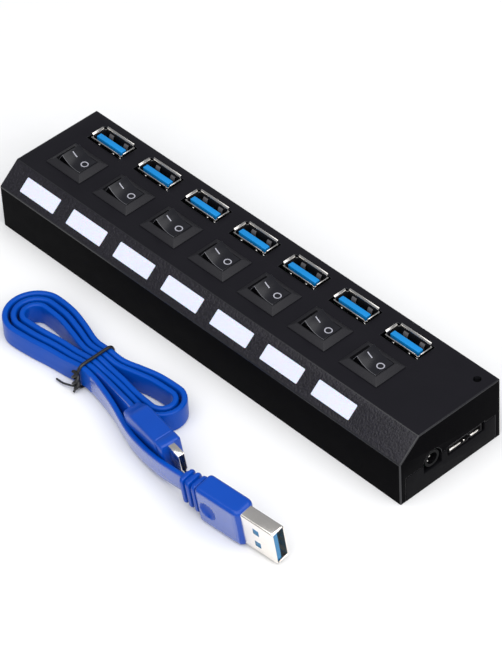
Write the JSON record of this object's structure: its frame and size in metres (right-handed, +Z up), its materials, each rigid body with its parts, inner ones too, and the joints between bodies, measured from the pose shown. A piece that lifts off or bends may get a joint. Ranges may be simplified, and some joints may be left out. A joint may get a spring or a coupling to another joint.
{
  "type": "usb hub",
  "caption": "Long bevelled hub box with a row of upright USB ports, each with a rocker switch and a light window, and a detached flat cable tied in a bow.",
  "frame": {"origin": "middle of the hub's underside, on the table, measured without the loose cable", "axes": "+X along the row of ports towards the sockets in the end wall, +Y from the bevelled front to the back, +Z up"},
  "size_m": [0.1666, 0.0818, 0.0252],
  "materials": {
    "housing_plastic": "semi-matte moulded ABS, fine spark texture on the bevel",
    "cover_plastic": "matte moulded ABS",
    "circuit_board": "solder mask over glass-fibre laminate",
    "milky_plastic": "milky translucent acrylic",
    "contact_metal": "gold-flashed brass",
    "lamp_resin": "clear resin over phosphor",
    "socket_plastic": "moulded nylon",
    "plated_steel": "nickel-plated rolled sheet",
    "port_blue": "bright azure moulded insulator",
    "switch_plastic": "satin moulded nylon",
    "rocker_plastic": "glossy black with white pad-printed marks",
    "chip_epoxy": "moulded epoxy",
    "capacitor_can": "bare aluminium can",
    "screw_steel": "zinc-plated steel",
    "cable_jacket": "soft glossy blue PVC",
    "plug_plastic": "semi-gloss blue PVC",
    "plug_blue": "blue moulded insulator",
    "tie_plastic": "plastic-coated wire"
  },
  "bodies": {
    "hub": {"top_shell": "housing_plastic", "bottom_cover": "cover_plastic", "main_pcb": "circuit_board", "light_guide": "milky_plastic", "port_contacts": "contact_metal", "indicator_leds": "lamp_resin", "power_light_pipe": "milky_plastic", "dc_jack_body": "socket_plastic", "dc_jack_contacts": "plated_steel", "upstream_shell": "plated_steel", "upstream_tongue": "socket_plastic", "controller_chips": "chip_epoxy", "capacitors": "capacitor_can", "switch_terminals": "contact_metal", "case_screws": "screw_steel", "port_shell_1": "plated_steel", "port_shell_2": "plated_steel", "port_shell_3": "plated_steel", "port_shell_4": "plated_steel", "port_shell_5": "plated_steel", "port_shell_6": "plated_steel", "port_shell_7": "plated_steel", "port_tongue_1": "port_blue", "port_tongue_2": "port_blue", "port_tongue_3": "port_blue", "port_tongue_4": "port_blue", "port_tongue_5": "port_blue", "port_tongue_6": "port_blue", "port_tongue_7": "port_blue", "switch_frame_1": "switch_plastic", "switch_frame_2": "switch_plastic", "switch_frame_3": "switch_plastic", "switch_frame_4": "switch_plastic", "switch_frame_5": "switch_plastic", "switch_frame_6": "switch_plastic", "switch_frame_7": "switch_plastic"},
    "rocker_1": {"switch_rocker_1": "rocker_plastic"},
    "rocker_2": {"switch_rocker_2": "rocker_plastic"},
    "rocker_3": {"switch_rocker_3": "rocker_plastic"},
    "rocker_4": {"switch_rocker_4": "rocker_plastic"},
    "rocker_5": {"switch_rocker_5": "rocker_plastic"},
    "rocker_6": {"switch_rocker_6": "rocker_plastic"},
    "rocker_7": {"switch_rocker_7": "rocker_plastic"},
    "lever_1": {"contact_lever_1": "contact_metal"},
    "lever_2": {"contact_lever_2": "contact_metal"},
    "lever_3": {"contact_lever_3": "contact_metal"},
    "lever_4": {"contact_lever_4": "contact_metal"},
    "lever_5": {"contact_lever_5": "contact_metal"},
    "lever_6": {"contact_lever_6": "contact_metal"},
    "lever_7": {"contact_lever_7": "contact_metal"},
    "cable": {"cable_hank": "cable_jacket", "cable_lead": "cable_jacket", "cable_tail": "cable_jacket", "usb_a_mould": "plug_plastic", "usb_a_shell": "plated_steel", "usb_a_tongue": "plug_blue", "micro_b_mould": "plug_plastic", "micro_b_shell": "plated_steel", "twist_tie": "tie_plastic"}
  },
  "joints": [
    {"name": "switch_1", "type": "hinge", "parent": "hub", "child": "rocker_1", "pos_m": [-0.0686, -0.00112, 0.0199], "axis": [0, -1, 0], "range_deg": [0, 36]},
    {"name": "switch_2", "type": "hinge", "parent": "hub", "child": "rocker_2", "pos_m": [-0.0481, -0.00112, 0.0199], "axis": [0, -1, 0], "range_deg": [0, 36]},
    {"name": "switch_3", "type": "hinge", "parent": "hub", "child": "rocker_3", "pos_m": [-0.0276, -0.00112, 0.0199], "axis": [0, -1, 0], "range_deg": [0, 36]},
    {"name": "switch_4", "type": "hinge", "parent": "hub", "child": "rocker_4", "pos_m": [-0.0071, -0.00112, 0.0199], "axis": [0, -1, 0], "range_deg": [0, 36]},
    {"name": "switch_5", "type": "hinge", "parent": "hub", "child": "rocker_5", "pos_m": [0.0134, -0.00112, 0.0199], "axis": [0, -1, 0], "range_deg": [0, 36]},
    {"name": "switch_6", "type": "hinge", "parent": "hub", "child": "rocker_6", "pos_m": [0.0339, -0.00112, 0.0199], "axis": [0, -1, 0], "range_deg": [0, 36]},
    {"name": "switch_7", "type": "hinge", "parent": "hub", "child": "rocker_7", "pos_m": [0.0544, -0.00112, 0.0199], "axis": [0, -1, 0], "range_deg": [0, 36]},
    {"name": "contact_1", "type": "hinge", "parent": "hub", "child": "lever_1", "pos_m": [-0.0686, -0.00112, 0.01285], "axis": [0, -1, 0], "range_deg": [-18, 0]},
    {"name": "contact_2", "type": "hinge", "parent": "hub", "child": "lever_2", "pos_m": [-0.0481, -0.00112, 0.01285], "axis": [0, -1, 0], "range_deg": [-18, 0]},
    {"name": "contact_3", "type": "hinge", "parent": "hub", "child": "lever_3", "pos_m": [-0.0276, -0.00112, 0.01285], "axis": [0, -1, 0], "range_deg": [-18, 0]},
    {"name": "contact_4", "type": "hinge", "parent": "hub", "child": "lever_4", "pos_m": [-0.0071, -0.00112, 0.01285], "axis": [0, -1, 0], "range_deg": [-18, 0]},
    {"name": "contact_5", "type": "hinge", "parent": "hub", "child": "lever_5", "pos_m": [0.0134, -0.00112, 0.01285], "axis": [0, -1, 0], "range_deg": [-18, 0]},
    {"name": "contact_6", "type": "hinge", "parent": "hub", "child": "lever_6", "pos_m": [0.0339, -0.00112, 0.01285], "axis": [0, -1, 0], "range_deg": [-18, 0]},
    {"name": "contact_7", "type": "hinge", "parent": "hub", "child": "lever_7", "pos_m": [0.0544, -0.00112, 0.01285], "axis": [0, -1, 0], "range_deg": [-18, 0]},
    {"name": "cable_lift", "type": "slide", "parent": "hub", "child": "cable", "axis": [0, 0, 1], "range_m": [0, 0.06]}
  ],
  "couplings": [
    {"joint": "contact_1", "follows": "switch_1", "ratio": -0.5},
    {"joint": "contact_2", "follows": "switch_2", "ratio": -0.5},
    {"joint": "contact_3", "follows": "switch_3", "ratio": -0.5},
    {"joint": "contact_4", "follows": "switch_4", "ratio": -0.5},
    {"joint": "contact_5", "follows": "switch_5", "ratio": -0.5},
    {"joint": "contact_6", "follows": "switch_6", "ratio": -0.5},
    {"joint": "contact_7", "follows": "switch_7", "ratio": -0.5}
  ]
}
